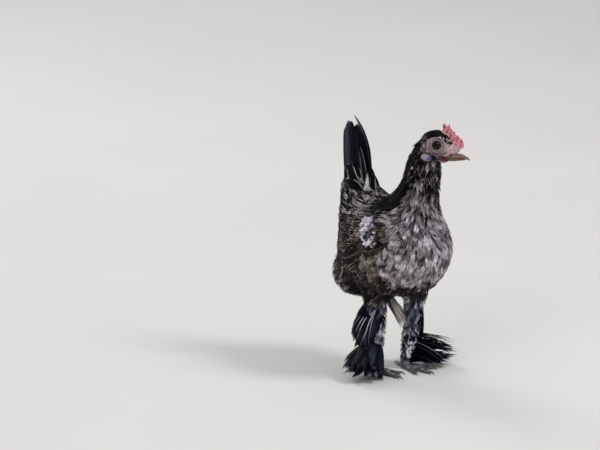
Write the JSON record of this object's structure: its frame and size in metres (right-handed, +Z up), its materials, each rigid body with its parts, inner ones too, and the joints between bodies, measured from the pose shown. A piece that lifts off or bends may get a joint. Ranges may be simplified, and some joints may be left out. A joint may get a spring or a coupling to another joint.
{
  "type": "feather-legged bantam hen figure",
  "caption": "Life-size standing bantam hen with an upright tail, single comb, feathered shanks, hock tufts and feathered feet; a still display model.",
  "frame": {"origin": "middle of the bounding box at the level of the soles, on the surface she stands on", "axes": "+Z up, she faces -Y, her left side is +X"},
  "size_m": [0.1362, 0.1724, 0.2873],
  "materials": {
    "feather_grey": "soft matt feathers",
    "feather_dark": "soft matt feathers",
    "feather_black": "slightly glossy feathers",
    "face_skin": "matt wrinkled skin",
    "comb_red": "fine-grained skin",
    "ear_lobe": "smooth skin",
    "horn": "satin horn",
    "eye": "wet gloss",
    "toe_skin": "matt scaled skin"
  },
  "bodies": {
    "root": {"bill_lower": "horn", "bill_upper": "horn", "claw_left_1": "horn", "claw_left_2": "horn", "claw_left_3": "horn", "claw_left_4": "horn", "claw_right_1": "horn", "claw_right_2": "horn", "claw_right_3": "horn", "claw_right_4": "horn", "comb": "comb_red", "ear_lobe_left": "ear_lobe", "ear_lobe_right": "ear_lobe", "eye_left": "eye", "eye_right": "eye", "foot_feathers_left": "feather_black", "foot_feathers_right": "feather_black", "foot_left": "toe_skin", "foot_right": "toe_skin", "head": "face_skin", "hock_feathers_left": "feather_black", "hock_feathers_right": "feather_black", "neck": "feather_grey", "rear_fluff": "feather_grey", "saddle": "feather_dark", "shank_left": "feather_grey", "shank_right": "feather_grey", "tail_feather_left_1": "feather_black", "tail_feather_left_2": "feather_black", "tail_feather_left_3": "feather_black", "tail_feather_left_4": "feather_black", "tail_feather_left_5": "feather_black", "tail_feather_left_6": "feather_black", "tail_feather_right_1": "feather_black", "tail_feather_right_2": "feather_black", "tail_feather_right_3": "feather_black", "tail_feather_right_4": "feather_black", "tail_feather_right_5": "feather_black", "tail_feather_right_6": "feather_black", "thigh_left": "feather_grey", "thigh_right": "feather_grey", "trunk": "feather_grey", "wattle_left": "comb_red", "wattle_right": "comb_red", "wing_left": "feather_dark", "wing_right": "feather_dark"}
  },
  "joints": []
}
